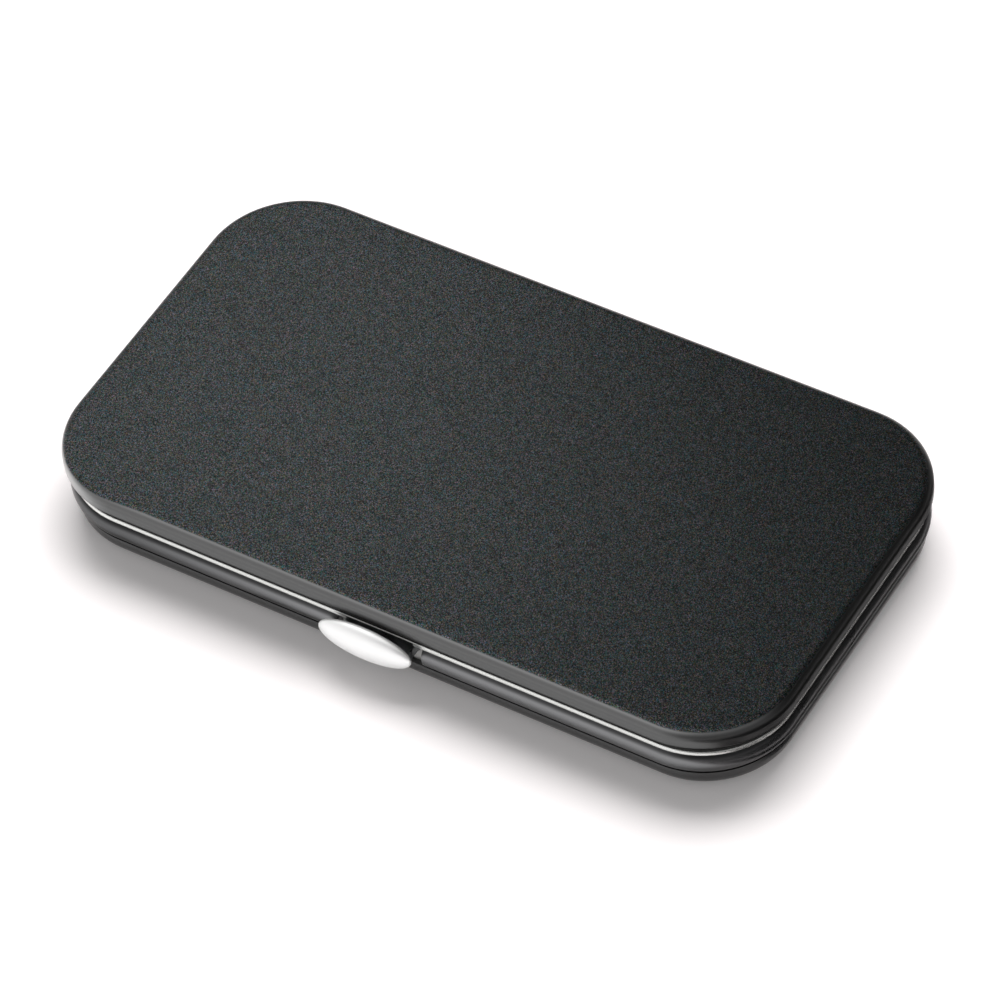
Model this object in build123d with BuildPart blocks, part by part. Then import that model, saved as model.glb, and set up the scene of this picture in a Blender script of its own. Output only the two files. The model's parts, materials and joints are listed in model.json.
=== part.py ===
from build123d import *
import os
from math import cos, radians, sin

# Slim manicure set case.
# Two pressed metal covers on rolled steel frames, a pinned hinge at the back, a push button
# latch at the front, and a five-tool set lying in a foam tray.
# Frame: X along the length, Y across the width with the button at -Y, Z up from the table.
# All sizes are in millimetres.

os.makedirs("parts", exist_ok=True)

# ---------------------------------------------------------------- case outline
case_length = 116.7
case_width = 64.1
case_height = 13.0
corner_radius = 14.3
lid_depth = 4.55  # from the lid's top down to where the two frames meet
parting_gap = 0.1

# ---------------------------------------------------------------- sheet and fits
cover_sheet = 0.8
frame_sheet = 0.8
seat_gap = 0.05  # between curved pieces that sit inside each other
rivet_gap = 0.02

# ---------------------------------------------------------------- bottom cover
bottom_inset = 1.1  # how far the bottom cover stands back from the top cover
bottom_skirt = 3.75
bottom_edge_radius = 3.0

# ---------------------------------------------------------------- lower frame and side band
rim_inset = 0.9
rim_height = 0.8
rim_round = 0.25
frame_flange = 4.05
band_inset = 0.45
band_edge = 0.85  # band thickness at its top and bottom edges
crease = 0.3  # groove between the bottom cover and the band

# ---------------------------------------------------------------- lid
top_edge_radius = 1.5
cover_skirt = 2.8
cover_hem = 0.7
hem_round = 0.3
lid_frame_inset = 1.5
lid_flange = 4.0
frame_bend_inside = 0.25
lining_thickness = 1.0
lining_gap = 0.3

# ---------------------------------------------------------------- hinge
hinge_length = 44.0
knuckle_count = 5
knuckle_gap = 0.2
knuckle_radius = 1.2
knuckle_wrap = 70  # degrees round the knuckle where its leaf runs into it
pin_radius = 0.5
pin_gap = 0.04
pin_head_radius = 0.85
pin_head = 0.4
leaf_sheet = 0.6
flat_open_gap = 0.35  # left between cover and band when the case lies open flat
hinge_rivet_radius = 0.6
hinge_rivet_head = 0.9  # radius of the flattened end

# ---------------------------------------------------------------- button and latch
latch_x = 0.0
latch_drop = 1.6  # from the rim's top down to the shank's middle
button_length = 15.0
button_tall = 6.3
button_deep = 2.8
button_back = 0.4  # from the button's middle to its flat back
button_shift = -1.2  # from the shank's middle to the button's middle
button_rise = 0.15  # from the shank's middle up to the button's middle
button_travel = 1.2
button_stop_gap = 0.1  # left between the pressed button and the band
shank_width = 11.2
shank_thickness = 1.5
tenon_width = 8.0  # end of the shank held inside the button
tenon_depth = 1.2
shoulder_width = 13.4
slot_gap = 0.15
slide_gap = 0.2
window_margin = 0.4
tongue_width = 7.0
tongue_sheet = 0.7
tongue_setback = 1.0  # from the lower frame's inner face
barb_reach = 0.9
slider_tail = 2.7
guide_sheet = 0.6
guide_ear = 4.9
spring_room = 2.4
spring_strip = 0.25
spring_span = 10.0
latch_cutout = 13.6  # gap in the side band round the button
rim_strip = 0.15  # left of the rim above the slot
relief_width = 10.8  # where the rim is cut down to that strip
latch_rivet_radius = 0.8
latch_rivet_head = 1.28
latch_rivet_spread = 2.45  # from the guide's side to the rivet
striker_rivet_radius = 0.6
striker_rivet_spread = 1.75

# ---------------------------------------------------------------- foam tray
tray_gap = 0.15
tray_bottom_round = 1.5
tray_margin = 0.65  # from the rim's top down to the tray's top
tray_floor = 0.9  # foam left under the deepest pocket
pocket_gap = 0.3
tool_headroom = 0.6  # between the tallest tool and the lining
scoop_radius = 6.5  # finger scoops beside the tools
scoop_depth = 3.0

# ---------------------------------------------------------------- derived levels
half_length = case_length / 2
half_width = case_width / 2
parting_height = case_height - lid_depth
rim_top = parting_height - parting_gap / 2
rim_base = rim_top - rim_height
frame_floor = cover_sheet
frame_inset = bottom_inset + cover_sheet + seat_gap
frame_bend = bottom_edge_radius - cover_sheet - seat_gap
frame_inner = frame_inset + frame_sheet
band_bottom = bottom_skirt + crease
band_top = rim_base - seat_gap
cover_bottom = case_height - cover_skirt
lid_inner_top = case_height - cover_sheet
lid_bottom = parting_height + parting_gap / 2
lid_frame_inner = lid_frame_inset + frame_sheet
lining_top = lid_inner_top - frame_sheet
lining_bottom = lining_top - lining_thickness
tray_top = rim_top - tray_margin
pocket_floor = frame_floor + tray_floor
tray_half_length = half_length - frame_inner - tray_gap
tray_half_width = half_width - frame_inner - tray_gap
latch_height = rim_top - latch_drop

front_plane = Plane.XZ.offset(half_width)
back_plane = Plane.XZ.offset(-half_width)


def outline(inset, mode=Mode.ADD):
    """The case's rounded outline in plan, drawn inwards by the inset."""
    return RectangleRounded(
        case_length - 2 * inset, case_width - 2 * inset, corner_radius - inset, mode=mode
    )


def loop_path(inset):
    """Closed path round the case at the inset, running anticlockwise seen from above."""
    x = half_length - inset
    y = half_width - inset
    with BuildLine(mode=Mode.PRIVATE) as loop:
        FilletPolyline((-x, -y), (x, -y), (x, y), (-x, y), radius=corner_radius - inset, close=True)
    return loop.wire()


def section_plane(path):
    """Plane across the path's start: first axis up, second axis outwards."""
    return Plane(origin=path @ 0, x_dir=(0, 0, 1), z_dir=path % 0)


def cut_through(plane, x, z, width, height, depth):
    """Cuts a rectangular window that goes from the plane towards the case's middle."""
    with BuildSketch(plane) as window:
        with Locations((x, z)):
            Rectangle(width, height)
    inward = -depth if plane is front_plane else depth
    extrude(window.sketch, amount=inward, mode=Mode.SUBTRACT)


def drill(plane, points, radius):
    """Drills rivet holes from the plane towards the case's middle."""
    with BuildSketch(plane) as holes:
        with Locations(*points):
            Circle(radius + rivet_gap)
    depth = half_width
    inward = -depth if plane is front_plane else depth
    extrude(holes.sketch, amount=inward, mode=Mode.SUBTRACT)


def save(part, name):
    """Labels a finished piece and writes it to its own STEP file."""
    part.label = name
    export_step(part, "parts/" + name + ".step")


# ================================================================ hinge and latch layout
hinge_y = half_width - band_inset / 2 + flat_open_gap / 2
hinge_z = parting_height
knuckle_width = (hinge_length - (knuckle_count - 1) * knuckle_gap) / knuckle_count
knuckle_starts = [
    -hinge_length / 2 + i * (knuckle_width + knuckle_gap) for i in range(knuckle_count)
]
base_knuckles = knuckle_starts[0::2]
lid_knuckles = knuckle_starts[1::2]
wrap_out = knuckle_radius * cos(radians(knuckle_wrap))
wrap_up = knuckle_radius * sin(radians(knuckle_wrap))
hinge_notch = hinge_length + 2 * (pin_head + slot_gap) + knuckle_gap
base_wall_y = half_width - frame_inset
lid_wall_y = half_width - lid_frame_inset
base_leaf_bottom = bottom_skirt + slide_gap
base_leaf_top = hinge_z - knuckle_radius - slide_gap
lid_leaf_bottom = hinge_z + knuckle_radius + slide_gap
lid_leaf_top = lid_inner_top - (top_edge_radius - cover_sheet)
base_rivet_z = (base_leaf_bottom + base_leaf_top) / 2
lid_rivet_z = (lid_leaf_bottom + lid_leaf_top) / 2
# the rivets lie in pairs under the lid's knuckles, clear of the base's
hinge_rivet_pair = knuckle_width - 4 * hinge_rivet_head
hinge_rivet_x = [
    start + knuckle_width / 2 + side * hinge_rivet_pair / 2
    for start in lid_knuckles
    for side in (-1, 1)
]
base_rivets = [(x, base_rivet_z) for x in hinge_rivet_x]
lid_rivets = [(x, lid_rivet_z) for x in hinge_rivet_x]

shank_bottom = latch_height - shank_thickness / 2
shank_top = latch_height + shank_thickness / 2
slot_bottom = shank_bottom - slide_gap
slot_top = shank_top + slide_gap
slot_width = shank_width + 2 * slot_gap
inner_front_y = -(half_width - frame_inner)
lid_inner_front_y = -(half_width - lid_frame_inner)
cap_x = latch_x + button_shift
cap_z = latch_height + button_rise
cap_y = -(half_width - band_inset) - button_stop_gap - button_travel - button_back
cap_back = cap_y + button_back
tongue_front = inner_front_y + tongue_setback
tongue_back = tongue_front + tongue_sheet
barb_tip = tongue_back + barb_reach
barb_top = slot_bottom - slide_gap
window_front = tongue_front - button_travel - slide_gap
window_rear = tongue_back + slide_gap
window_width = tongue_width + 2 * window_margin
slider_rear = barb_tip + slider_tail
guide_back = slider_rear + spring_room
guide_inner = shoulder_width / 2 + slide_gap
guide_outer = guide_inner + guide_sheet
guide_floor_top = slot_bottom
guide_floor = guide_floor_top - guide_sheet
lip_bottom = shank_top + slide_gap
guide_front = inner_front_y + guide_sheet
ear_bottom = frame_floor + frame_bend + seat_gap
ear_top = lip_bottom + guide_sheet
ear_outer = guide_outer + guide_ear
latch_rivet_x = guide_outer + latch_rivet_spread
latch_rivet_z = (ear_bottom + ear_top) / 2
guide_rivets = [(latch_x + side * latch_rivet_x, latch_rivet_z) for side in (-1, 1)]
striker_rivet_z = lining_bottom + striker_rivet_radius / 2
striker_rivet_points = [
    (latch_x + side * striker_rivet_spread, striker_rivet_z) for side in (-1, 1)
]

# ================================================================ bottom cover
with BuildPart() as bottom_cover:
    with BuildSketch(Plane.XY):
        outline(bottom_inset)
    extrude(amount=bottom_skirt)
    fillet(bottom_cover.edges().group_by(Axis.Z)[0], radius=bottom_edge_radius)
    offset(amount=-cover_sheet, openings=bottom_cover.faces().sort_by(Axis.Z)[-1])
save(bottom_cover.part, "bottom_cover")

# ================================================================ lower frame
base_path = loop_path(frame_inset)
with BuildPart() as lower_frame:
    with BuildSketch(section_plane(base_path)):
        with BuildLine():
            FilletPolyline(
                (frame_floor, -frame_flange),
                (frame_floor, 0),
                (rim_base, 0),
                (rim_base, frame_inset - rim_inset),
                (rim_top, frame_inset - rim_inset),
                (rim_top, -frame_sheet),
                (frame_floor + frame_sheet, -frame_sheet),
                (frame_floor + frame_sheet, -frame_flange),
                radius=[0, frame_bend, 0, rim_round, rim_round, 0, frame_bend - frame_sheet, 0],
                close=True,
            )
        make_face()
    sweep(path=base_path)
    # slot for the button shank, and the rim cut away above it down to a thin strip
    cut_through(front_plane, latch_x, latch_height, slot_width, slot_top - slot_bottom, frame_inner)
    rim_relief = rim_height - rim_strip
    cut_through(
        front_plane, latch_x, rim_base + rim_relief / 2, relief_width, rim_relief, frame_inset
    )
    # rim cut away along the hinge
    cut_through(
        back_plane, 0, rim_base + rim_height / 2, hinge_notch, rim_height, frame_inset
    )
    drill(front_plane, guide_rivets, latch_rivet_radius)
    drill(back_plane, base_rivets, hinge_rivet_radius)
save(lower_frame.part, "lower_frame")

# ================================================================ side bands
band_mid = (band_top + band_bottom) / 2
with BuildPart() as band_ring:
    with BuildSketch(section_plane(base_path)):
        with BuildLine():
            Line((band_bottom, band_edge), (band_bottom, 0))
            Line((band_bottom, 0), (band_top, 0))
            Line((band_top, 0), (band_top, band_edge))
            ThreePointArc(
                (band_top, band_edge), (band_mid, frame_inset - band_inset), (band_bottom, band_edge)
            )
        make_face()
    sweep(path=base_path)
    cut_through(front_plane, latch_x, band_mid, latch_cutout, case_height, frame_inset)
    cut_through(back_plane, 0, band_mid, hinge_notch, case_height, frame_inset)
left_band, right_band = band_ring.solids().sort_by(Axis.X)
for band_half, band_name in ((left_band, "side_band_left"), (right_band, "side_band_right")):
    with BuildPart() as side_band:
        add(band_half)
    save(side_band.part, band_name)

# ================================================================ top cover
with BuildPart() as top_cover:
    with BuildSketch(Plane.XY.offset(cover_bottom)):
        outline(0)
    extrude(amount=cover_skirt)
    fillet(top_cover.edges().group_by(Axis.Z)[-1], radius=top_edge_radius)
    fillet(top_cover.edges().group_by(Axis.Z)[0], radius=hem_round)
    with BuildSketch(Plane.XY.offset(cover_bottom + cover_hem)):
        outline(cover_sheet)
    extrude(amount=lid_inner_top - cover_bottom - cover_hem, mode=Mode.SUBTRACT)
    inner_edges = top_cover.edges().filter_by_position(Axis.Z, lid_inner_top, lid_inner_top)
    fillet(inner_edges, radius=top_edge_radius - cover_sheet)
    with BuildSketch(Plane.XY.offset(cover_bottom)):
        outline(lid_frame_inset - seat_gap)
    extrude(amount=cover_hem, mode=Mode.SUBTRACT)
    # the hem is open where the hinge leaf goes up behind the cover
    with BuildSketch(Plane.XY.offset(cover_bottom)):
        with Locations((0, lid_wall_y)):
            Rectangle(
                hinge_notch, lid_frame_inset - cover_sheet, align=(Align.CENTER, Align.MIN)
            )
    extrude(amount=cover_hem, mode=Mode.SUBTRACT)
save(top_cover.part, "top_cover")

# ================================================================ upper frame
lid_path = loop_path(lid_frame_inset)
with BuildPart() as upper_frame:
    with BuildSketch(section_plane(lid_path)):
        with BuildLine():
            FilletPolyline(
                (lid_bottom, 0),
                (lid_inner_top, 0),
                (lid_inner_top, -lid_flange),
                (lid_inner_top - frame_sheet, -lid_flange),
                (lid_inner_top - frame_sheet, -frame_sheet),
                (lid_bottom, -frame_sheet),
                radius=[rim_round, frame_bend_inside + frame_sheet, 0, 0, frame_bend_inside, rim_round],
                close=True,
            )
        make_face()
    sweep(path=lid_path)
    drill(front_plane, striker_rivet_points, striker_rivet_radius)
    drill(back_plane, lid_rivets, hinge_rivet_radius)
save(upper_frame.part, "upper_frame")

# ================================================================ hinge leaves and pin
with BuildPart() as base_hinge_leaf:
    with BuildSketch(Plane.XZ.offset(-base_wall_y - leaf_sheet)):
        with Locations((0, (base_leaf_bottom + base_leaf_top) / 2)):
            RectangleRounded(hinge_length, base_leaf_top - base_leaf_bottom, leaf_sheet)
    extrude(amount=leaf_sheet)
    for start in base_knuckles:
        with BuildSketch(Plane.YZ.offset(start)):
            Polygon(
                (base_wall_y, base_leaf_top - leaf_sheet / 2),
                (base_wall_y + leaf_sheet, base_leaf_top - leaf_sheet / 2),
                (hinge_y - wrap_out, hinge_z - wrap_up),
                (hinge_y, hinge_z),
                (hinge_y - knuckle_radius, hinge_z),
                (base_wall_y, rim_base),
                align=None,
            )
            with Locations((hinge_y, hinge_z)):
                Circle(knuckle_radius)
                Circle(pin_radius + pin_gap, mode=Mode.SUBTRACT)
        extrude(amount=knuckle_width)
    drill(back_plane, base_rivets, hinge_rivet_radius)
save(base_hinge_leaf.part, "base_hinge_leaf")

with BuildPart() as lid_hinge_leaf:
    with BuildSketch(Plane.XZ.offset(-lid_wall_y - leaf_sheet)):
        with Locations((0, lid_rivet_z)):
            Rectangle(hinge_length, lid_leaf_top - lid_leaf_bottom)
    extrude(amount=leaf_sheet)
    for start in lid_knuckles:
        with BuildSketch(Plane.YZ.offset(start)):
            Polygon(
                (lid_wall_y, lid_bottom),
                (lid_wall_y, lid_leaf_bottom + leaf_sheet / 4),
                (lid_wall_y + leaf_sheet, lid_leaf_bottom + leaf_sheet / 4),
                (hinge_y - wrap_out, hinge_z + wrap_up),
                (hinge_y, hinge_z),
                (hinge_y - knuckle_radius / 2, lid_bottom),
                align=None,
            )
            with Locations((hinge_y, hinge_z)):
                Circle(knuckle_radius)
                Circle(pin_radius + pin_gap, mode=Mode.SUBTRACT)
        extrude(amount=knuckle_width)
    drill(back_plane, lid_rivets, hinge_rivet_radius)
save(lid_hinge_leaf.part, "lid_hinge_leaf")

with BuildPart() as hinge_pin:
    pin_end = hinge_length / 2 + knuckle_gap / 2
    with BuildSketch(Plane.YZ.offset(-pin_end)):
        with Locations((hinge_y, hinge_z)):
            Circle(pin_radius)
    extrude(amount=2 * pin_end)
    for end, direction in ((-pin_end, -1), (pin_end, 1)):
        with BuildSketch(Plane.YZ.offset(end)):
            with Locations((hinge_y, hinge_z)):
                Circle(pin_head_radius)
        extrude(amount=direction * pin_head)
    rims = hinge_pin.edges().filter_by(GeomType.CIRCLE)
    fillet([rims.sort_by(Axis.X)[0], rims.sort_by(Axis.X)[-1]], radius=pin_head / 2)
save(hinge_pin.part, "hinge_pin")

with BuildPart() as base_hinge_rivets:
    with BuildSketch(Plane.XZ.offset(-base_wall_y + frame_sheet)):
        with Locations(*base_rivets):
            Circle(hinge_rivet_radius)
    extrude(amount=-(frame_sheet + leaf_sheet))
    with BuildSketch(Plane.XZ.offset(-base_wall_y - leaf_sheet)):
        with Locations(*base_rivets):
            Circle(hinge_rivet_head)
    extrude(amount=-leaf_sheet, taper=30)
save(base_hinge_rivets.part, "base_hinge_rivets")

with BuildPart() as lid_hinge_rivets:
    with BuildSketch(Plane.XZ.offset(-lid_wall_y + frame_sheet)):
        with Locations(*lid_rivets):
            Circle(hinge_rivet_radius)
    extrude(amount=-(frame_sheet + leaf_sheet))
save(lid_hinge_rivets.part, "lid_hinge_rivets")

# ================================================================ button, slider and latch
with BuildPart() as button_slider:
    with BuildSketch(Plane.XY.offset(shank_bottom)):
        with Locations((latch_x, cap_back)):
            Rectangle(shank_width, slider_rear - cap_back, align=(Align.CENTER, Align.MIN))
            Rectangle(tenon_width, tenon_depth, align=(Align.CENTER, Align.MAX))
        with Locations((latch_x, inner_front_y + parting_gap)):
            Rectangle(
                shoulder_width,
                slider_rear - inner_front_y - parting_gap,
                align=(Align.CENTER, Align.MIN),
            )
        with Locations((latch_x, window_front)):
            Rectangle(
                window_width, window_rear - window_front, align=(Align.CENTER, Align.MIN),
                mode=Mode.SUBTRACT,
            )
    extrude(amount=shank_thickness)
    fillet(button_slider.edges().filter_by(Axis.Z).group_by(Axis.Y)[-1], radius=guide_sheet)
save(button_slider.part, "button_slider")

with BuildPart() as pebble:
    Sphere(1)
    scale(by=(button_length / 2, button_deep / 2, button_tall / 2))
with BuildPart() as button_cap:
    add(pebble.part.moved(Location((cap_x, cap_y, cap_z))))
    split(bisect_by=Plane.XZ.offset(-cap_back), keep=Keep.TOP)
    with BuildSketch(Plane.XY.offset(shank_bottom - rivet_gap)):
        with Locations((latch_x, cap_back)):
            Rectangle(
                tenon_width + 2 * rivet_gap,
                tenon_depth + rivet_gap,
                align=(Align.CENTER, Align.MAX),
            )
    extrude(amount=shank_thickness + 2 * rivet_gap, mode=Mode.SUBTRACT)
save(button_cap.part, "button_cap")

with BuildPart() as latch_guide:
    # channel with side rails and inturned lips
    with BuildSketch(Plane.XZ.offset(-guide_front)):
        with BuildLine():
            Polyline(
                (latch_x - guide_outer, guide_floor),
                (latch_x + guide_outer, guide_floor),
                (latch_x + guide_outer, lip_bottom + guide_sheet),
                (latch_x + guide_inner - 2 * guide_sheet, lip_bottom + guide_sheet),
                (latch_x + guide_inner - 2 * guide_sheet, lip_bottom),
                (latch_x + guide_inner, lip_bottom),
                (latch_x + guide_inner, guide_floor_top),
                (latch_x - guide_inner, guide_floor_top),
                (latch_x - guide_inner, lip_bottom),
                (latch_x - guide_inner + 2 * guide_sheet, lip_bottom),
                (latch_x - guide_inner + 2 * guide_sheet, lip_bottom + guide_sheet),
                (latch_x - guide_outer, lip_bottom + guide_sheet),
                close=True,
            )
        make_face()
    extrude(amount=-(guide_back + guide_sheet - guide_front))
    # back wall
    with BuildSketch(Plane.XY.offset(guide_floor)):
        with Locations((latch_x, guide_back)):
            Rectangle(2 * guide_outer, guide_sheet, align=(Align.CENTER, Align.MIN))
    extrude(amount=lip_bottom + guide_sheet - guide_floor)
    # ears against the frame, joined under the floor
    for side in (-1, 1):
        with BuildSketch(Plane.XZ.offset(-guide_front)):
            with Locations((latch_x + side * (guide_inner + ear_outer) / 2, latch_rivet_z)):
                Rectangle(ear_outer - guide_inner, ear_top - ear_bottom)
            foot_z = (ear_bottom + guide_floor_top) / 2
            with Locations((latch_x + side * (window_width / 2 + ear_outer) / 2, foot_z)):
                Rectangle(ear_outer - window_width / 2, guide_floor_top - ear_bottom)
        extrude(amount=guide_sheet)
    # window under the tongue
    with BuildSketch(Plane.XY.offset(guide_floor)):
        with Locations((latch_x, inner_front_y)):
            Rectangle(
                window_width, barb_tip + 2 * slide_gap - inner_front_y,
                align=(Align.CENTER, Align.MIN),
            )
    extrude(amount=guide_sheet, mode=Mode.SUBTRACT)
    drill(front_plane, guide_rivets, latch_rivet_radius)
save(latch_guide.part, "latch_guide")

with BuildPart() as latch_guide_rivets:
    with BuildSketch(Plane.XZ.offset(half_width - frame_inset)):
        with Locations(*guide_rivets):
            Circle(latch_rivet_radius)
    extrude(amount=-(frame_sheet + guide_sheet))
    with BuildSketch(Plane.XZ.offset(-guide_front)):
        with Locations(*guide_rivets):
            Circle(latch_rivet_head)
    extrude(amount=-guide_sheet, taper=30)
save(latch_guide_rivets.part, "latch_guide_rivets")

with BuildPart() as latch_spring:
    with BuildSketch(Plane.XY.offset(shank_bottom + slide_gap / 2)):
        with BuildLine() as bow:
            ThreePointArc(
                (latch_x - spring_span / 2, guide_back - spring_strip),
                (latch_x, slider_rear + rivet_gap),
                (latch_x + spring_span / 2, guide_back - spring_strip),
            )
            offset(amount=spring_strip, side=Side.LEFT)
        make_face()
    extrude(amount=shank_thickness - slide_gap)
save(latch_spring.part, "latch_spring")

with BuildPart() as latch_striker:
    joggle_top = lining_bottom - slide_gap
    with BuildSketch(Plane.YZ.offset(latch_x)):
        Polygon(
            (lid_inner_front_y, lining_top - frame_bend_inside),
            (lid_inner_front_y + tongue_sheet, lining_top - frame_bend_inside),
            (lid_inner_front_y + tongue_sheet, joggle_top),
            (tongue_back, joggle_top - tongue_sheet),
            (tongue_back, barb_top),
            (barb_tip, barb_top - slide_gap),
            (barb_tip, barb_top - 2 * slide_gap),
            (tongue_front + slide_gap, barb_top - barb_reach - 2 * slide_gap),
            (tongue_front, barb_top - barb_reach),
            (tongue_front, joggle_top - tongue_sheet - tongue_sheet / 2),
            (lid_inner_front_y, joggle_top - tongue_sheet / 2),
            align=None,
        )
    extrude(amount=tongue_width / 2, both=True)
    drill(front_plane, striker_rivet_points, striker_rivet_radius)
save(latch_striker.part, "latch_striker")

with BuildPart() as striker_rivets:
    with BuildSketch(Plane.XZ.offset(half_width - lid_frame_inset)):
        with Locations(*striker_rivet_points):
            Circle(striker_rivet_radius)
    extrude(amount=-(frame_sheet + tongue_sheet))
save(striker_rivets.part, "striker_rivets")

# ================================================================ lid lining
with BuildPart() as lid_lining:
    with BuildSketch(Plane.XY.offset(lining_bottom)):
        outline(lid_frame_inner + lining_gap)
        with Locations((latch_x, lid_inner_front_y)):
            Rectangle(window_width, 2 * (tongue_sheet + slide_gap), mode=Mode.SUBTRACT)
    extrude(amount=lining_thickness)
    with BuildSketch(Plane.XY.offset(lining_top)):
        outline(lid_frame_inset + lid_flange + lining_gap)
    extrude(amount=lid_inner_top - lining_top)
save(lid_lining.part, "lid_lining")

# ================================================================ tool set: sizes
file_tip_wall = 9.45  # foam left beyond each tool's end
file_end_wall = 13.45
file_blade_width = 6.0
file_blade_sheet = 1.0
file_point = 0.9
file_handle_length = 30.0
file_handle_width = 6.4
file_handle_thickness = 2.4
file_handle_round = 0.7
file_tang_width = 2.4
file_tang_length = 10.0

pusher_tip_wall = 7.45
pusher_end_wall = 11.45
pusher_grip_radius = 2.2
pusher_neck_radius = 1.2
pusher_neck_length = 16.0
pusher_shoulder = 10.0
pusher_tail = 14.0
pusher_tail_slope = 0.35
pusher_groove_pitch = 1.6
pusher_groove_count = 14
pusher_groove = 0.3
pusher_blade_length = 13.0
pusher_blade_bend = 6.0
pusher_blade_rise = 1.2
pusher_blade_sheet = 0.9
pusher_blade_width = 3.2

scissor_tip_wall = 14.45
scissor_end_wall = 6.95
scissor_blade_length = 37.0
scissor_sheet = 1.4
scissor_bevel = 0.6
scissor_bevel_angle = 35
scissor_layer_gap = 0.05
scissor_point = 0.8
ring_long = 10.5
ring_short = 8.0
ring_bar = 2.3
ring_split = 0.7  # between the two finger rings
boss_radius = 3.8
shank_start_x = 11.0
shank_start_y = 2.8
shank_radius = 1.8
screw_radius = 1.2
screw_head_radius = 2.3
screw_head = 0.6
screw_head_round = 0.25
screw_slot_width = 0.5
screw_slot_depth = 0.25

tweezer_tip_wall = 3.45
tweezer_length = 62.0
tweezer_sheet = 0.8
tweezer_bow = 2.4
tweezer_width = 8.4
tweezer_tip_radius = 1.2
tweezer_end_radius = 3.0
tweezer_weld = 6.0
tweezer_shoulder = 28.0
tweezer_tip_gap = 0.25
tweezer_slant = 1.6

clipper_tip_wall = 3.45
clipper_length = 55.0
clipper_width = 12.4
clipper_sheet = 1.2
clipper_corner = 1.0
clipper_end_radius = 4.6
clipper_bend = 2.0
clipper_root = 11.0
clipper_flat = 18.0
clipper_nose = 4.0
clipper_bite = 0.3
clipper_edge_radius = 26.0  # hollow of the cutting edges in plan
clipper_edge_depth = 0.7
post_setback = 7.0
post_radius = 1.1
post_head_radius = 1.9
post_head = 0.35
lever_gap = 0.25
lever_sheet = 0.9
lever_nose = 2.5
lever_nose_radius = 3.0
lever_flat = 16.0
lever_tail = 13.0
lever_dip = 0.9
lever_lift = 1.7
lever_width = 8.4

# ================================================================ tool set: layout in the tray
# from the latch bay to the tray's back: tweezers, scissors, clipper, pusher, file
bay_back = guide_back + guide_sheet + slide_gap
row_widths = [
    tweezer_width,
    2 * boss_radius,
    clipper_width,
    2 * pusher_grip_radius,
    file_handle_width,
]
row_room = tray_half_width - bay_back
row_wall = (row_room - sum(row_widths) - 2 * pocket_gap * len(row_widths)) / (len(row_widths) + 1)
row_middles = []
row_start = bay_back
for row_width in row_widths:
    row_middles.append(row_start + row_wall + pocket_gap + row_width / 2)
    row_start += row_wall + 2 * pocket_gap + row_width
tweezer_y, scissor_y, clipper_y, pusher_y, file_y = row_middles

file_tip_x = -(tray_half_length - file_tip_wall)
file_end_x = tray_half_length - file_end_wall
file_handle_x = file_end_x - file_handle_length
file_level = tray_top - file_handle_thickness / 2

pusher_tip_x = -(tray_half_length - pusher_tip_wall)
pusher_end_x = tray_half_length - pusher_end_wall
pusher_level = tray_top - pusher_grip_radius

scissor_tip_x = -(tray_half_length - scissor_tip_wall)
scissor_pivot_x = scissor_tip_x + scissor_blade_length
scissor_ring_x = tray_half_length - scissor_end_wall - ring_long
scissor_level = tray_top - scissor_sheet - slide_gap
scissor_floor = scissor_level - scissor_sheet - scissor_layer_gap / 2
ring_offset = ring_short + ring_split / 2

tweezer_tip_x = -(tray_half_length - tweezer_tip_wall)
tweezer_end_x = tweezer_tip_x + tweezer_length
tweezer_level = pocket_floor + slide_gap + tweezer_sheet + tweezer_bow

clipper_jaw_x = -(tray_half_length - clipper_tip_wall)
clipper_end_x = clipper_jaw_x + clipper_length
clipper_floor = pocket_floor + seat_gap
clipper_stack = lining_bottom - tool_headroom - clipper_floor
clipper_spread = (clipper_stack - 2 * post_head - lever_gap - lever_sheet) / 2 - clipper_sheet
clipper_level = clipper_floor + post_head + clipper_sheet + clipper_spread
clipper_post_x = clipper_jaw_x + post_setback
clipper_rivet_x = clipper_end_x - clipper_end_radius
lever_rise = clipper_spread + clipper_sheet + lever_gap


# ================================================================ tool set: outlines in plan
def hull(stations, grow=0.0):
    """Outline stretched round circles given as (x, y, radius), grown all round if asked."""
    with BuildSketch(mode=Mode.PRIVATE) as rounded:
        for x, y, radius in stations:
            with Locations((x, y)):
                Circle(radius + grow)
        make_hull()
    add(rounded.sketch)


def tweezer_plan(grow=0.0):
    """Tweezer arms in plan: broad in the middle, narrow at the tips."""
    broad = ((tweezer_tip_x + 2 * tweezer_end_x) / 3, tweezer_y, tweezer_width / 2)
    tip = (tweezer_tip_x + tweezer_tip_radius, tweezer_y, tweezer_tip_radius)
    end = (tweezer_end_x - tweezer_end_radius, tweezer_y, tweezer_end_radius)
    hull([tip, broad], grow)
    hull([broad, end], grow)


def clipper_plan(grow=0.0):
    """Nail clipper in plan: wide at the jaws, rounded at the riveted end."""
    reach = clipper_width / 2 - clipper_corner
    front = clipper_jaw_x + clipper_corner
    hull(
        [
            (front, clipper_y - reach, clipper_corner),
            (front, clipper_y + reach, clipper_corner),
            (clipper_rivet_x, clipper_y, clipper_end_radius),
        ],
        grow,
    )


def file_blade_plan(grow=0.0):
    """Nail file blade in plan, tapering to its point."""
    radius = file_blade_width / 2
    point = (file_tip_x + file_point, file_y, file_point)
    hull([point, (file_handle_x - radius, file_y, radius)], grow)


def file_handle_plan(grow=0.0):
    """Nail file handle in plan."""
    radius = file_handle_width / 2
    hull([(file_handle_x + radius, file_y, radius), (file_end_x - radius, file_y, radius)], grow)


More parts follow.
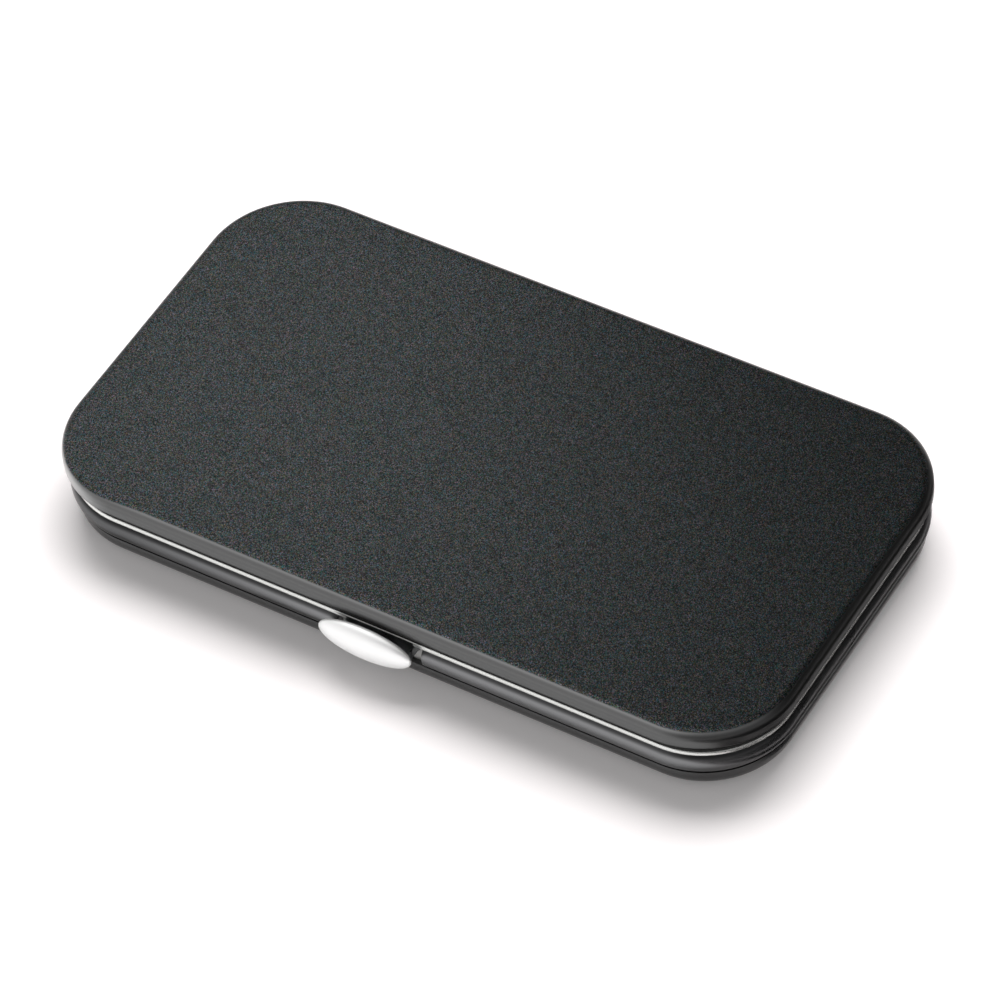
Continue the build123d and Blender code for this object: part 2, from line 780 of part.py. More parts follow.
def pusher_plan(grow=0.0):
    """Cuticle pusher in plan."""
    radius = pusher_grip_radius
    start = (pusher_tip_x + pusher_neck_radius, pusher_y, radius)
    hull([start, (pusher_end_x - radius, pusher_y, radius)], grow)


def scissor_blade_plan(grow=0.0):
    """Closed scissor blades and pivot boss in plan."""
    point = (scissor_tip_x + scissor_point, scissor_y, scissor_point)
    hull([point, (scissor_pivot_x, scissor_y, boss_radius)], grow)


def scissor_neck_plan(side, grow=0.0):
    """Neck from the pivot boss to the shank of one scissor half in plan."""
    shank = (scissor_pivot_x + shank_start_x, scissor_y + side * shank_start_y, shank_radius)
    hull([(scissor_pivot_x, scissor_y, boss_radius), shank], grow)


def scissor_handle_plan(side, grow=0.0):
    """Shank and finger ring of one scissor half in plan, without the ring's hole."""
    ring_y = scissor_y + side * ring_offset
    start = (scissor_pivot_x + shank_start_x, scissor_y + side * shank_start_y, shank_radius)
    end = (scissor_ring_x - ring_long + ring_bar / 2, ring_y, shank_radius)
    hull([start, end], grow)
    with Locations((scissor_ring_x, ring_y)):
        Ellipse(ring_long + grow, ring_short + grow)


def scoop_plan(x, y, grow=0.0):
    """Round scoop that lets a finger reach under a tool."""
    with Locations((x, y)):
        Circle(scoop_radius + grow)


# ================================================================ foam tray
def pocket(level, plan, *args):
    """Sinks a pocket into the tray from its top down to the level."""
    with BuildSketch(Plane.XY.offset(level)) as well:
        plan(*args, grow=pocket_gap)
    extrude(well.sketch, amount=tray_top - level, mode=Mode.SUBTRACT)


with BuildPart() as foam_tray:
    tray_bottom = frame_floor + frame_sheet
    with BuildSketch(Plane.XY.offset(tray_bottom)):
        outline(frame_inner + tray_gap)
    extrude(amount=tray_top - tray_bottom)
    fillet(foam_tray.edges().group_by(Axis.Z)[0], radius=tray_bottom_round)
    with BuildSketch(Plane.XY.offset(frame_floor)):
        outline(frame_inset + frame_flange + tray_gap)
    extrude(amount=tray_bottom - frame_floor)
    # bay for the latch
    with BuildSketch(Plane.XY.offset(frame_floor)):
        with Locations((latch_x, -half_width)):
            Rectangle(
                2 * (ear_outer + slide_gap), half_width + bay_back, align=(Align.CENTER, Align.MIN)
            )
    extrude(amount=case_height, mode=Mode.SUBTRACT)
    pocket(file_level - file_blade_sheet / 2 - slide_gap, file_blade_plan)
    pocket(file_level - file_handle_thickness / 2, file_handle_plan)
    pocket(pusher_level - pusher_grip_radius - seat_gap, pusher_plan)
    pocket(pocket_floor, tweezer_plan)
    pocket(pocket_floor, clipper_plan)
    pocket(scissor_floor, scissor_blade_plan)
    for side in (-1, 1):
        pocket(scissor_floor, scissor_neck_plan, side)
        pocket(scissor_floor, scissor_handle_plan, side)
    # foam islands inside the finger rings
    with BuildSketch(Plane.XY.offset(scissor_floor)):
        for side in (-1, 1):
            with Locations((scissor_ring_x, scissor_y + side * ring_offset)):
                Ellipse(ring_long - ring_bar - pocket_gap, ring_short - ring_bar - pocket_gap)
    extrude(amount=tray_top - scissor_floor)
    # finger scoops: one across the file and the pusher, one across the clipper
    pocket(tray_top - scoop_depth, scoop_plan, file_handle_x, (file_y + pusher_y) / 2)
    pocket(tray_top - scoop_depth, scoop_plan, (clipper_jaw_x + clipper_end_x) / 2, clipper_y)
save(foam_tray.part, "foam_tray")

# ================================================================ nail scissors
def scissor_half(side, inner_level):
    """One scissor half: bevelled blade and neck in its own layer, thick shank and finger ring."""
    ring_thickness = 2 * scissor_sheet - 2 * slide_gap
    with BuildPart() as handle:
        with BuildSketch(Plane.XY.offset(scissor_level - ring_thickness / 2)):
            scissor_handle_plan(side)
            with Locations((scissor_ring_x, scissor_y + side * ring_offset)):
                Ellipse(ring_long - ring_bar, ring_short - ring_bar, mode=Mode.SUBTRACT)
        extrude(amount=ring_thickness)
    with BuildPart() as half:
        with BuildSketch(Plane.XY.offset(inner_level)) as flat:
            scissor_blade_plan()
            scissor_neck_plan(side)
        extrude(flat.sketch, amount=side * (scissor_sheet - scissor_bevel))
        bevel_level = inner_level + side * (scissor_sheet - scissor_bevel)
        with BuildSketch(Plane.XY.offset(bevel_level)) as ground:
            scissor_blade_plan()
        extrude(ground.sketch, amount=side * scissor_bevel, taper=scissor_bevel_angle)
        with BuildSketch(Plane.XY.offset(bevel_level)) as neck:
            scissor_neck_plan(side)
        extrude(neck.sketch, amount=side * scissor_bevel)
        add(handle.part)
        with BuildSketch(Plane.XY.offset(inner_level)) as bore:
            with Locations((scissor_pivot_x, scissor_y)):
                Circle(screw_radius + rivet_gap)
        extrude(bore.sketch, amount=side * scissor_sheet, mode=Mode.SUBTRACT)
    return half.part


save(scissor_half(-1, scissor_level - scissor_layer_gap / 2), "scissor_half_lower")
save(scissor_half(1, scissor_level + scissor_layer_gap / 2), "scissor_half_upper")

with BuildPart() as scissor_screw:
    screw_shoulder = scissor_level + scissor_sheet + scissor_layer_gap / 2
    with BuildSketch(Plane.XY.offset(scissor_floor)):
        with Locations((scissor_pivot_x, scissor_y)):
            Circle(screw_radius)
    extrude(amount=screw_shoulder - scissor_floor)
    with BuildSketch(Plane.XY.offset(screw_shoulder)):
        with Locations((scissor_pivot_x, scissor_y)):
            Circle(screw_head_radius)
    extrude(amount=screw_head)
    fillet(scissor_screw.edges().group_by(Axis.Z)[-1], radius=screw_head_round)
    with BuildSketch(Plane.XY.offset(screw_shoulder + screw_head)):
        with Locations((scissor_pivot_x, scissor_y)):
            Rectangle(screw_slot_width, 2 * screw_head_radius)
    extrude(amount=-screw_slot_depth, mode=Mode.SUBTRACT)
save(scissor_screw.part, "scissor_screw")

# ================================================================ bent strips
def strip_side(y, root, curve, lean, shift):
    """Side view of a bent strip: level from its root to the curve's start, then smooth to its tip,
    which leans up or down by the slope given, and the same line shifted."""
    lifted = [(x, z + shift) for x, z in curve]
    with BuildSketch(Plane.XZ.offset(-y)) as side:
        with BuildLine():
            Line(root, curve[0])
            Spline(*curve, tangents=((-1, 0), (-1, lean)))
            Line(curve[-1], lifted[-1])
            Spline(*reversed(lifted), tangents=((1, -lean), (1, 0)))
            Polyline(lifted[0], (root[0], root[1] + shift), root)
        make_face()
    return side.sketch


def plate_side(y, points, shift, bend):
    """Side view of a folded plate: straight stretches with rounded bends, then shifted."""
    shifted = [(x, z + shift) for x, z in points]
    with BuildSketch(Plane.XZ.offset(-y)) as side:
        with BuildLine():
            FilletPolyline(*points, radius=bend)
            Line(points[-1], shifted[-1])
            FilletPolyline(*reversed(shifted), radius=bend)
            Line(shifted[0], points[0])
        make_face()
    return side.sketch


# ================================================================ tweezers
def tweezer_arm(side):
    """One tweezer arm: a strip bowed away from the middle plane, cut to the plan outline."""
    inner = tweezer_level + side * rivet_gap
    bow = [
        (tweezer_end_x - tweezer_weld, inner),
        (tweezer_end_x - tweezer_shoulder, tweezer_level + side * tweezer_bow),
        (tweezer_tip_x, tweezer_level + side * tweezer_tip_gap),
    ]
    lean = -side * tweezer_bow / (tweezer_length - tweezer_shoulder)
    profile = strip_side(tweezer_y, (tweezer_end_x, inner), bow, lean, side * tweezer_sheet)
    with BuildPart() as arm:
        extrude(profile, amount=tweezer_width, both=True)
        with BuildSketch(Plane.XY) as plan:
            tweezer_plan()
            # slanted tip
            with BuildLine():
                Polyline(
                    (tweezer_tip_x, tweezer_y + tweezer_tip_radius),
                    (tweezer_tip_x + tweezer_slant, tweezer_y + tweezer_tip_radius),
                    (tweezer_tip_x, tweezer_y - tweezer_tip_radius),
                    close=True,
                )
            make_face(mode=Mode.SUBTRACT)
        extrude(plan.sketch, amount=case_height, mode=Mode.INTERSECT)
    return arm.part


save(tweezer_arm(-1), "tweezer_arm_lower")
save(tweezer_arm(1), "tweezer_arm_upper")

# ================================================================ nail file
with BuildPart() as nail_file_handle:
    with BuildSketch(Plane.XY.offset(file_level - file_handle_thickness / 2)):
        file_handle_plan()
    extrude(amount=file_handle_thickness)
    fillet(nail_file_handle.edges().group_by(Axis.Z)[-1], radius=file_handle_round)
    with BuildSketch(Plane.XY.offset(file_level - file_blade_sheet / 2 - rivet_gap)):
        with Locations((file_handle_x, file_y)):
            Rectangle(
                file_tang_length + rivet_gap,
                file_tang_width + 2 * rivet_gap,
                align=(Align.MIN, Align.CENTER),
            )
    extrude(amount=file_blade_sheet + 2 * rivet_gap, mode=Mode.SUBTRACT)
save(nail_file_handle.part, "nail_file_handle")

with BuildPart() as nail_file_blade:
    with BuildSketch(Plane.XY.offset(file_level - file_blade_sheet / 2)):
        file_blade_plan()
        with Locations((file_handle_x - file_blade_width, file_y)):
            Rectangle(
                file_tang_length + file_blade_width,
                file_tang_width,
                align=(Align.MIN, Align.CENTER),
            )
    extrude(amount=file_blade_sheet)
save(nail_file_blade.part, "nail_file_blade")

# ================================================================ cuticle pusher
with BuildPart() as cuticle_pusher:
    neck_end = pusher_tip_x + pusher_neck_length
    grip_start = neck_end + pusher_shoulder
    grip_end = pusher_end_x - pusher_tail
    neck_top = pusher_level + pusher_neck_radius
    grip_top = pusher_level + pusher_grip_radius
    with BuildSketch(Plane.XZ.offset(-pusher_y)):
        with BuildLine():
            Polyline(
                (pusher_end_x, pusher_level),
                (pusher_tip_x, pusher_level),
                (pusher_tip_x, neck_top),
                (neck_end, neck_top),
            )
            Spline((neck_end, neck_top), (grip_start, grip_top), tangents=((1, 0), (1, 0)))
            Line((grip_start, grip_top), (grip_end, grip_top))
            Spline(
                (grip_end, grip_top),
                (pusher_end_x, pusher_level),
                tangents=((1, 0), (1, -pusher_tail_slope)),
            )
        make_face()
    revolve(axis=Axis((0, pusher_y, pusher_level), (1, 0, 0)))
    # turned grooves of the grip
    for i in range(pusher_groove_count):
        with BuildSketch(Plane.YZ.offset(grip_start + (i + 1) * pusher_groove_pitch)):
            with Locations((pusher_y, pusher_level)):
                Circle(pusher_grip_radius)
                Circle(pusher_grip_radius - pusher_groove, mode=Mode.SUBTRACT)
        extrude(amount=pusher_groove_pitch / 3, mode=Mode.SUBTRACT)
    # flat blade, swept up to a blunt edge
    blade_under = pusher_level - pusher_blade_sheet / 2
    blade_root = (pusher_tip_x + pusher_blade_length, blade_under)
    blade_tip = (pusher_tip_x, blade_under + pusher_blade_rise)
    blade = [(pusher_tip_x + pusher_blade_bend, blade_under), blade_tip]
    blade_lean = 2 * pusher_blade_rise / pusher_blade_bend
    # the round neck is cut away round the blade, on a slope
    with BuildSketch(Plane.XZ.offset(-pusher_y)) as relief:
        Polygon(
            blade_root,
            (pusher_tip_x + pusher_blade_bend, blade_under + pusher_grip_radius),
            (pusher_tip_x, blade_under + pusher_grip_radius),
            (pusher_tip_x, blade_under - pusher_grip_radius),
            (pusher_tip_x + pusher_blade_bend, blade_under - pusher_grip_radius),
            align=None,
        )
    extrude(relief.sketch, amount=pusher_grip_radius, both=True, mode=Mode.SUBTRACT)
    profile = strip_side(pusher_y, blade_root, blade, blade_lean, pusher_blade_sheet)
    extrude(profile, amount=pusher_blade_width / 2, both=True)
save(cuticle_pusher.part, "cuticle_pusher")

# ================================================================ nail clipper
def clipper_jaw(side):
    """One jaw plate: flat at the riveted end, sprung away from the other, curled in at the edge."""
    spring_line = [
        (clipper_end_x, rivet_gap),
        (clipper_end_x - clipper_root, rivet_gap),
        (clipper_jaw_x + clipper_flat, clipper_spread),
        (clipper_jaw_x + clipper_nose, clipper_spread),
        (clipper_jaw_x, clipper_bite),
    ]
    points = [(x, clipper_level + side * rise) for x, rise in spring_line]
    with BuildPart() as jaw:
        extrude(
            plate_side(clipper_y, points, side * clipper_sheet, clipper_bend),
            amount=clipper_width,
            both=True,
        )
        with BuildSketch(Plane.XY) as plan:
            clipper_plan()
            with Locations((clipper_jaw_x + clipper_edge_depth - clipper_edge_radius, clipper_y)):
                Circle(clipper_edge_radius, mode=Mode.SUBTRACT)
            with Locations((clipper_post_x, clipper_y)):
                Circle(post_radius + pocket_gap, mode=Mode.SUBTRACT)
            with Locations((clipper_rivet_x, clipper_y)):
                Circle(post_radius + rivet_gap, mode=Mode.SUBTRACT)
        extrude(plan.sketch, amount=case_height, mode=Mode.INTERSECT)
    return jaw.part


save(clipper_jaw(-1), "clipper_jaw_lower")
save(clipper_jaw(1), "clipper_jaw_upper")

with BuildPart() as clipper_lever:
    lever_line = [
        (clipper_jaw_x + lever_nose, clipper_level + lever_rise),
        (clipper_jaw_x + lever_flat, clipper_level + lever_rise),
        (clipper_end_x - lever_tail, clipper_level + clipper_sheet + lever_dip),
        (clipper_end_x, clipper_level + clipper_sheet + lever_lift),
    ]
    extrude(
        plate_side(clipper_y, lever_line, lever_sheet, clipper_bend),
        amount=clipper_width,
        both=True,
    )
    with BuildSketch(Plane.XY) as lever_plan:
        hull([
            (clipper_jaw_x + lever_nose + lever_nose_radius, clipper_y, lever_nose_radius),
            (clipper_end_x - lever_width / 2, clipper_y, lever_width / 2),
        ])
        with Locations((clipper_post_x, clipper_y)):
            Circle(post_radius + rivet_gap, mode=Mode.SUBTRACT)
    extrude(lever_plan.sketch, amount=case_height, mode=Mode.INTERSECT)
save(clipper_lever.part, "clipper_lever")


def double_headed(name, x, bottom, top, head_radius, head, taper=0.0):
    """Upright pin through the clipper with a head at each end."""
    with BuildPart() as pin:
        with BuildSketch(Plane.XY.offset(bottom)):
            with Locations((x, clipper_y)):
                Circle(post_radius)
        extrude(amount=top - bottom)
        for level, direction in ((bottom, -1), (top, 1)):
            with BuildSketch(Plane.XY.offset(level)) as button:
                with Locations((x, clipper_y)):
                    Circle(head_radius)
            extrude(button.sketch, amount=direction * head, taper=taper)
    save(pin.part, name)


plates_half = clipper_sheet + rivet_gap
lever_top = clipper_level + lever_rise + lever_sheet
double_headed(
    "clipper_post", clipper_post_x, clipper_level - clipper_spread - clipper_sheet, lever_top,
    post_head_radius, post_head,
)
double_headed(
    "clipper_rivet", clipper_rivet_x, clipper_level - plates_half, clipper_level + plates_half,
    post_head_radius, post_head, taper=25,
)
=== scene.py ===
import json
import math

import bpy
from bpy.props import FloatProperty, FloatVectorProperty, PointerProperty
from mathutils import Matrix, Vector

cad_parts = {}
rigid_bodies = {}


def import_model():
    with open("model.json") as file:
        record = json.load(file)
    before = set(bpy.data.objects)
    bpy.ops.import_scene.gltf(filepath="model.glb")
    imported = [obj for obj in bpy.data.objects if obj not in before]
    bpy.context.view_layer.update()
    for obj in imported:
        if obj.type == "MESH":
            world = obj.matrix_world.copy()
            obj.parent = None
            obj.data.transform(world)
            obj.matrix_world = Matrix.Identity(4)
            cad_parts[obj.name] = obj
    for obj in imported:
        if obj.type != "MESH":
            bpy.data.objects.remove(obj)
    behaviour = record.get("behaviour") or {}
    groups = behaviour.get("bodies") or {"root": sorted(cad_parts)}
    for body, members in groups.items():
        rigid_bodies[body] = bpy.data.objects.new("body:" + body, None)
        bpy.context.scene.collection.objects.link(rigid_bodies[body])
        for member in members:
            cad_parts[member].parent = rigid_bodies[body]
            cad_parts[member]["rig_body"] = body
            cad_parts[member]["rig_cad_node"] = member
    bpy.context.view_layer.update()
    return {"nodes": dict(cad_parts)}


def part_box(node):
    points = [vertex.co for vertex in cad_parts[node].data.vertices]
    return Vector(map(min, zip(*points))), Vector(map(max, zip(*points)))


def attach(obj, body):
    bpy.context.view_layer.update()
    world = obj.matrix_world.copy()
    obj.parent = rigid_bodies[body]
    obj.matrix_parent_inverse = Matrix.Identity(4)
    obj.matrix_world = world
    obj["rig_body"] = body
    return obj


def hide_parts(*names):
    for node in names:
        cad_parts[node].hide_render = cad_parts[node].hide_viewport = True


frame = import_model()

bl_info = {
    "name": "Manicure Set Case",
    "version": (1, 0, 0),
    "blender": (4, 5, 0),
    "location": "View3D > Sidebar > Manicure Case",
    "description": "Finishes, tray flocking, lid lining, lights and camera of a slim manicure case",
    "category": "Add Mesh",
}

MM = 0.001
COVER_LOW, COVER_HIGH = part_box("top_cover")
CASE_HALF = Vector((COVER_HIGH.x, COVER_HIGH.y, 0.0))
CASE_TOP = COVER_HIGH.z
NOISE_LOW, NOISE_HIGH = 0.3, 0.7  # the range that most values of the noise lie in


def linear(code):
    """An sRGB hex colour such as "3a3d3e" as the linear colour that shaders take."""
    channels = [int(code[i:i + 2], 16) / 255 for i in (0, 2, 4)]
    return [c / 12.92 if c <= 0.04045 else ((c + 0.055) / 1.055) ** 2.4 for c in channels]


def paint(code):
    """The same colour with full alpha, for a colour socket."""
    return (*linear(code), 1.0)


def shade_of(colour, share=1.0):
    """A linear colour made darker or lighter by a share, with full alpha."""
    return (*[share * channel for channel in colour], 1.0)


# ------------------------------------------------------------------ settings
def colour_setting(name, description, code):
    return FloatVectorProperty(
        name=name, description=description, subtype="COLOR", size=3, min=0, max=1,
        default=linear(code),
    )


def length_setting(name, description, millimetres):
    return FloatProperty(
        name=name, description=description, unit="LENGTH", min=0, default=millimetres * MM
    )


def angle_setting(name, description, degrees):
    return FloatProperty(
        name=name, description=description, unit="ROTATION", default=math.radians(degrees)
    )


def strength_setting(name, description, default):
    return FloatProperty(name=name, description=description, min=0, default=default)


class CaseLook(bpy.types.PropertyGroup):
    """Colours and grain of the case's own metal"""

    panel: colour_setting("Panel", "Charcoal lacquer on the flat of the covers", "454848")
    edge: colour_setting("Edge", "Bare dark anodised metal at the rounded edges", "757575")
    band: colour_setting("Band", "Dark anodised side band", "666667")
    frame_black: colour_setting("Upper frame", "Black lacquer on the lid's frame", "0c0c0d")
    nickel: colour_setting("Nickel", "Plated rim of the lower frame", "e6e6e4")
    button: colour_setting("Button", "Satin plated push button", "ffffff")
    corner_radius: length_setting("Corner radius", "Radius of the case's outline in plan", 14.3)
    grain: length_setting(
        "Grain", "Size of one lacquer speckle, drawn coarse enough to show", 0.085
    )
    grain_start: length_setting("Grain start", "Edge distance at which the grain begins", 0.7)
    grain_full: length_setting("Grain full", "Edge distance at which the grain is full", 0.95)


class InsideLook(bpy.types.PropertyGroup):
    """Colours and sizes of the tray, the lining and the tools"""

    flock: colour_setting("Flock", "Short nylon pile on the foam tray", "26262a")
    lining: colour_setting("Lining", "Woven satin inside the lid", "2c2c31")
    steel: colour_setting("Steel", "Stainless steel of the tools", "c9cacb")
    zinc: colour_setting("Zinc", "Zinc plate of the hinge and latch parts", "b4b6b8")
    handle: colour_setting("Handle", "Moulded handle of the nail file", "1d1d1f")
    pile_size: length_setting("Pile", "Clump size of the flocking", 0.35)
    edge_round: length_setting("Tray edge", "Rounding of the tray's pocket edges", 0.45)
    thread: length_setting("Thread", "Spacing of the lining's threads, drawn coarse", 0.45)
    lining_crown: length_setting("Crown", "How far the lining swells in the middle", 0.45)


class StudioLook(bpy.types.PropertyGroup):
    """Camera and light"""

    azimuth: angle_setting(
        "Azimuth", "Camera's turn from the case's front towards its right", 36.17
    )
    elevation: angle_setting("Elevation", "Camera's height above the table", 48.91)
    roll: angle_setting("Roll", "Camera's lean", -6.99)
    distance: length_setting("Distance", "From the camera to its aim point", 833.9)
    aim_across: length_setting("Aim across", "Aim point right of the case's middle", 0.257)
    aim_down: length_setting("Aim down", "Aim point below the case's middle", 6.034)
    lens: strength_setting("Lens", "Focal length in millimetres on a 36 mm film", 214.84)
    key_power: strength_setting("Key", "Power of the softbox overhead, in watts", 10.5)
    sheen_power: strength_setting("Sheen", "Power of the card mirrored in the lid, in watts", 0.08)
    room: strength_setting("Room", "Level of the room's own light", 0.34)


def look(name):
    """One of the three groups of settings."""
    return getattr(bpy.context.scene, name)


# ------------------------------------------------------------------ shader helpers
def add_node(tree, kind, inputs=None, **settings):
    """Adds a shader node, gives it its settings, and sets or links its inputs."""
    node = tree.nodes.new("ShaderNode" + kind)
    for name, value in settings.items():
        setattr(node, name, value)
    for key, value in (inputs or {}).items():
        if isinstance(value, bpy.types.NodeSocket):
            tree.links.new(value, node.inputs[key])
        else:
            node.inputs[key].default_value = value
    return node


def new_material(name, **values):
    """A material with its Principled shader's uniform values set. Returns it, its tree and its
    shader."""
    material = bpy.data.materials.new(name)
    material.use_nodes = True
    tree = material.node_tree
    shader = tree.nodes["Principled BSDF"]
    for key, value in values.items():
        shader.inputs[key.replace("_", " ").title().replace("Ior", "IOR")].default_value = value
    return material, tree, shader


def object_position(tree):
    """Position on the piece in metres, in the case's own frame."""
    return add_node(tree, "TexCoord").outputs["Object"]


def speckle(tree, position, size, **settings):
    """Fine noise whose grains measure about the size."""
    inputs = {"Vector": position, "Scale": 1 / size, "Detail": 2.0}
    inputs.update(settings)
    return add_node(tree, "TexNoise", inputs)


def wave_scale(spacing):
    """Scale of a wave texture whose bands lie this far apart."""
    return 1 / spacing / 20 * math.tau


def remap(tree, value, low, high, to_low, to_high, style="LINEAR"):
    """Value from one range to another, clamped."""
    inputs = {
        "Value": value, "From Min": low, "From Max": high, "To Min": to_low, "To Max": to_high,
    }
    return add_node(tree, "MapRange", inputs, interpolation_type=style).outputs["Result"]


def calculate(tree, operation, first, second=0.0):
    """One arithmetic step on one or two values."""
    return add_node(tree, "Math", {0: first, 1: second}, operation=operation).outputs[0]


def coordinates(tree, position):
    """The X, Y and Z of a position, each as a value of its own."""
    return add_node(tree, "SeparateXYZ", {0: position}).outputs


def scale_colour(tree, colour, factor):
    """A colour made darker or lighter by a factor that changes over the surface."""
    return add_node(
        tree, "VectorMath", {0: colour, "Scale": factor}, operation="SCALE"
    ).outputs[0]


def blend_colours(tree, factor, first, second):
    """First colour where the factor is 0, second where it is 1."""
    inputs = {"Factor": factor, 6: first, 7: second}
    return add_node(tree, "Mix", inputs, data_type="RGBA").outputs[2]


def colour_surface(tree, shader, colour):
    """Gives the surface a colour that changes over it."""
    tree.links.new(colour, shader.inputs["Base Color"])


def roughen(tree, shader, pattern, at_low, at_high, low=NOISE_LOW, high=NOISE_HIGH):
    """Gives the surface a roughness that follows a pattern."""
    tree.links.new(remap(tree, pattern, low, high, at_low, at_high), shader.inputs["Roughness"])


def raise_surface(tree, shader, height, depth):
    """Bumps the surface by a height from 0 to 1, worth the depth in metres."""
    bump = add_node(tree, "Bump", {"Height": height, "Distance": depth, "Strength": 1.0})
    tree.links.new(bump.outputs["Normal"], shader.inputs["Normal"])


def edge_distance(tree, position, radius):
    """Distance inwards from the case's rounded outline, in metres, up to the corner radius."""
    flat = add_node(tree, "VectorMath", {0: position, 1: (1, 1, 0)}, operation="MULTIPLY")
    folded = add_node(tree, "VectorMath", {0: flat.outputs[0]}, operation="ABSOLUTE")
    core = (CASE_HALF.x - radius, CASE_HALF.y - radius, 0.0)
    beyond = add_node(tree, "VectorMath", {0: folded.outputs[0], 1: core}, operation="SUBTRACT")
    outside = add_node(
        tree, "VectorMath", {0: beyond.outputs[0], 1: (0, 0, 0)}, operation="MAXIMUM"
    )
    reach = add_node(tree, "VectorMath", {0: outside.outputs[0]}, operation="LENGTH")
    return calculate(tree, "SUBTRACT", radius, reach.outputs["Value"])


# ------------------------------------------------------------------ case finishes
def lacquer_flakes(tree, position, case):
    """Mica grains in cool and warm greys: their colour, and a random height for each grain."""
    cells = add_node(
        tree, "TexVoronoi", {"Vector": position, "Scale": 1 / case.grain}
    ).outputs["Color"]
    grains = coordinates(tree, cells)
    few_bright = calculate(tree, "POWER", grains["X"], 3.0)
    level = remap(tree, few_bright, 0.0, 1.0, 0.25, 3.25)
    red = remap(tree, grains["Y"], 0.0, 1.0, 0.15, 1.85)
    blue = remap(tree, grains["Z"], 0.0, 1.0, 0.4, 1.6)
    tint = add_node(tree, "CombineXYZ", {0: red, 1: 1.0, 2: blue}).outputs[0]
    colour = add_node(
        tree, "Mix", {"Factor": 1.0, 6: shade_of(case.panel), 7: scale_colour(tree, tint, level)},
        data_type="RGBA", blend_type="MULTIPLY",
    ).outputs[2]
    return colour, grains["X"]


def painted_edge_light_and_shade(tree, place, painted_left_end_level, painted_low_level, painted_hem_level):
    """How light the bare rounded edge is, all painted light and shade graded along the case:
    painted_left_end_level at the left end and painted_low_level elsewhere below the top,
    painted_hem_level as a painted shadow line along the cover's hem, wider by the button, and a
    painted shade of a quarter along the back."""
    left, back = -CASE_HALF.x, CASE_HALF.y
    # painted light and shade: the left end's painted level blends into the painted level along the
    # rest of the edge
    below = remap(
        tree, place["X"], left + 3 * MM, left + 15 * MM, painted_left_end_level, painted_low_level, "SMOOTHSTEP"
    )
    # painted light and shade: below the top of the edge the colour takes the painted level, full at
    # the top
    painted_light_by_height = remap(tree, place["Z"], CASE_TOP - 1.1 * MM, CASE_TOP - 0.35 * MM, below, 1.0)
    aside = calculate(tree, "ABSOLUTE", place["X"])
    # painted shadow line along the cover's hem, wider by the button
    line_top = remap(
        tree, aside, 7 * MM, 11 * MM, COVER_LOW.z + 1.1 * MM, COVER_LOW.z + 0.5 * MM, "SMOOTHSTEP"
    )
    hem = remap(tree, place["Z"], COVER_LOW.z, line_top, painted_hem_level, 1.0, "SMOOTHSTEP")
    # painted shade along the back
    away = remap(tree, place["Y"], back - 20 * MM, back - 4 * MM, 1.0, 0.25, "SMOOTHSTEP")
    return calculate(tree, "MULTIPLY", calculate(tree, "MULTIPLY", painted_light_by_height, hem), away)


def sparkle_lacquer(name, grain_start, grain_full, painted_left_end_level, painted_low_level, painted_hem_level):
    """Charcoal wrinkle lacquer with fine mica over dark anodised aluminium. The flat is satin and
    speckled, and the rounded edge is bare, smooth metal whose colour carries painted light and
    shade. The lacquer comes further out over the edge at the left end."""
    case = look("case_look")
    material, tree, shader = new_material(name, metallic=1.0)
    position = object_position(tree)
    place = coordinates(tree, position)
    left = -CASE_HALF.x
    further = remap(
        tree, place["X"], left + 5 * MM, left + 20 * MM, 0.72 * grain_start, 0.0
    )
    inwards = edge_distance(tree, position, case.corner_radius)
    coated = remap(
        tree, calculate(tree, "ADD", inwards, further), grain_start, grain_full, 0.0, 1.0,
        "SMOOTHSTEP",
    )
    flakes, grain_height = lacquer_flakes(tree, position, case)
    # painted light and shade on the bare edge's colour
    level = painted_edge_light_and_shade(tree, place, painted_left_end_level, painted_low_level, painted_hem_level)
    bare = scale_colour(tree, tuple(case.edge), level)
    colour_surface(tree, shader, blend_colours(tree, coated, bare, flakes))
    roughen(tree, shader, coated, 0.32, 0.4, low=0.0, high=1.0)
    raise_surface(tree, shader, calculate(tree, "MULTIPLY", grain_height, coated), 0.03 * MM)
    return material


def painted_band_light_and_shade(tree, place):
    """How light the side band is, graded along the case in painted light and shade: a painted
    highlight where it bulges, painted shade towards its left end, and a painted shadow line at its
    foot left of the button, thinnest 30 mm from the middle."""
    low, high = (corner.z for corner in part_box("side_band_left"))
    shoulder, rise, across = high - 0.9 * MM, place["Z"], place["X"]
    # painted highlight just under the shoulder, fading above and below
    upper = remap(tree, rise, shoulder, high - 0.2 * MM, 1.3, 0.4, "SMOOTHSTEP")
    lower = remap(tree, rise, low, shoulder, 0.75, 1.3)
    painted_bulge_highlight = calculate(tree, "MINIMUM", upper, lower)
    # painted shadow line in the crease at the foot, left of the button
    line = remap(tree, across, -12 * MM, 2 * MM, 0.02, 1.0, "SMOOTHSTEP")
    from_middle = calculate(tree, "ABSOLUTE", calculate(tree, "ADD", across, 30 * MM))
    line_top = remap(
        tree, from_middle, 7 * MM, 13 * MM, low + 1.0 * MM, low + 2.0 * MM, "SMOOTHSTEP"
    )
    foot = remap(tree, rise, low + 0.9 * MM, line_top, line, 1.0, "SMOOTHSTEP")
    # painted shade towards the left end
    painted_left_end_shade = remap(tree, across, -CASE_HALF.x, -10 * MM, 0.3, 1.0)
    return calculate(tree, "MULTIPLY", calculate(tree, "MULTIPLY", painted_bulge_highlight, foot), painted_left_end_shade)


